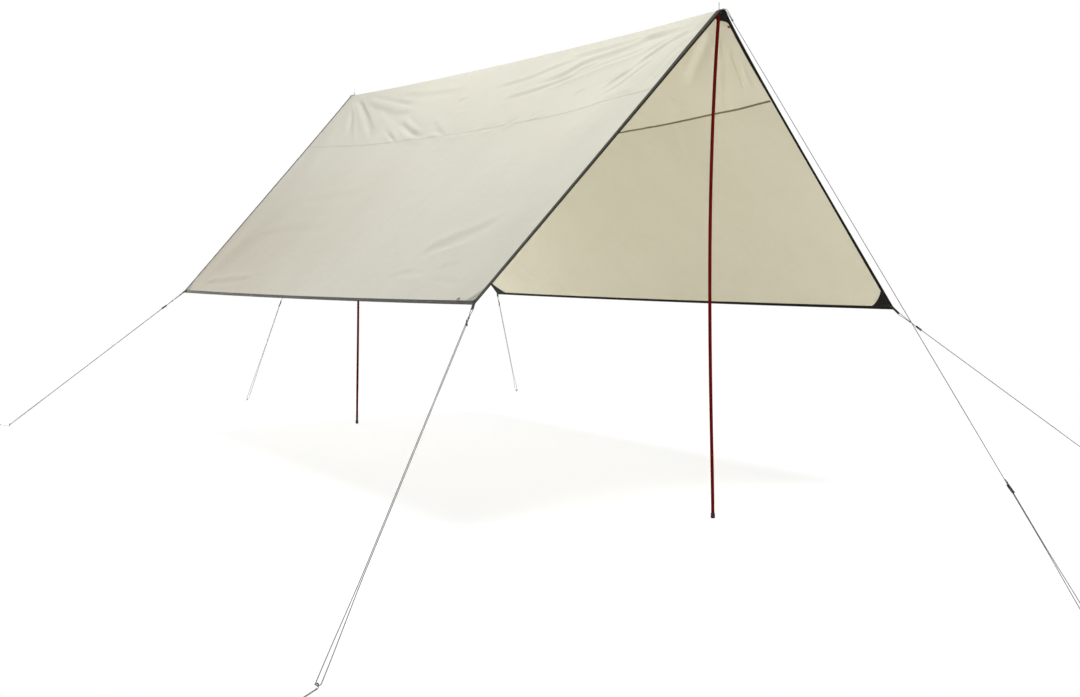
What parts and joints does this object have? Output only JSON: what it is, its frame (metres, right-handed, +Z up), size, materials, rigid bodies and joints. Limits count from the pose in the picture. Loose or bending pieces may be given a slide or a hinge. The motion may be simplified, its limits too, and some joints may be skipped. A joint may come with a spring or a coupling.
{
  "type": "camping tarp",
  "caption": "Ridge tarp of joined cloth strips with a bound rim, held up by two slim poles through end eyelets and stayed by guy lines with sliding runners and hook pegs.",
  "frame": {"origin": "on the ground midway between the two pole feet; the bottom centre of the box round everything but the guy lines, their runners and their pegs, to within the corners' few centimetres of unevenness", "axes": "+Z up; the ridge runs along Y with the front end at -Y; X is across the tarp, the left slope at -X"},
  "size_m": [5.3256, 8.3433, 2.445],
  "materials": {
    "cloth": "matt polycotton canvas",
    "binding": "matt woven tape",
    "patch": "matt doubled cloth",
    "webbing": "ribbed webbing",
    "seam": "matt doubled cloth",
    "cord": "braided cord",
    "elastic": "woven elastic",
    "tag": "smooth woven tape",
    "runner": "moulded",
    "pole": "dark red satin coating",
    "cap": "matt",
    "steel": "drawn wire",
    "eyelet": "pressed"
  },
  "bodies": {
    "tarp": {"centre_panel": "cloth", "left_panel": "cloth", "right_panel": "cloth", "left_seam": "seam", "right_seam": "seam", "left_edge_binding": "binding", "right_edge_binding": "binding", "front_edge_binding": "binding", "rear_edge_binding": "binding", "front_left_corner_patch": "patch", "front_left_webbing_loop": "webbing", "front_right_corner_patch": "patch", "front_right_webbing_loop": "webbing", "front_peak_patch": "patch", "front_eyelet": "eyelet", "front_pole_lower": "pole", "front_pole_middle": "pole", "front_pole_upper": "pole", "front_foot_cap": "cap", "front_pole_spike": "steel", "rear_left_corner_patch": "patch", "rear_left_webbing_loop": "webbing", "rear_right_corner_patch": "patch", "rear_right_webbing_loop": "webbing", "rear_peak_patch": "patch", "rear_eyelet": "eyelet", "rear_pole_lower": "pole", "rear_pole_middle": "pole", "rear_pole_upper": "pole", "rear_foot_cap": "cap", "rear_pole_spike": "steel", "side_loop": "elastic", "edge_tag": "tag", "front_left_line": "cord", "front_left_peg": "steel", "rear_left_line": "cord", "rear_left_peg": "steel", "rear_right_line": "cord", "rear_right_peg": "steel", "front_right_line": "cord", "front_right_peg": "steel", "front_ridge_line": "cord", "front_ridge_peg": "steel", "rear_ridge_line": "cord", "rear_ridge_peg": "steel"},
    "front_left_slider": {"front_left_runner": "runner"},
    "rear_left_slider": {"rear_left_runner": "runner"},
    "rear_right_slider": {"rear_right_runner": "runner"},
    "front_right_slider": {"front_right_runner": "runner"},
    "front_ridge_slider": {"front_ridge_runner": "runner", "front_ridge_stopper_knot": "cord"},
    "rear_ridge_slider": {"rear_ridge_runner": "runner", "rear_ridge_stopper_knot": "cord"}
  },
  "joints": [
    {"name": "front_left_runner_slide", "type": "slide", "parent": "tarp", "child": "front_left_slider", "axis": [-0.6028, -0.6375, -0.4799], "range_m": [-0.01, 1.472]},
    {"name": "rear_left_runner_slide", "type": "slide", "parent": "tarp", "child": "rear_left_slider", "axis": [-0.5199, 0.6549, -0.5485], "range_m": [-0.049, 1.142]},
    {"name": "rear_right_runner_slide", "type": "slide", "parent": "tarp", "child": "rear_right_slider", "axis": [0.5168, 0.6961, -0.4985], "range_m": [-0.019, 1.22]},
    {"name": "front_right_runner_slide", "type": "slide", "parent": "tarp", "child": "front_right_slider", "axis": [0.7175, -0.3883, -0.5783], "range_m": [-0.032, 1.069]},
    {"name": "front_ridge_runner_slide", "type": "slide", "parent": "tarp", "child": "front_ridge_slider", "axis": [0, -0.6392, -0.769], "range_m": [-2.43, 0.196]},
    {"name": "rear_ridge_runner_slide", "type": "slide", "parent": "tarp", "child": "rear_ridge_slider", "axis": [-0.055, 0.6021, -0.7966], "range_m": [-1.79, 0.41]}
  ]
}
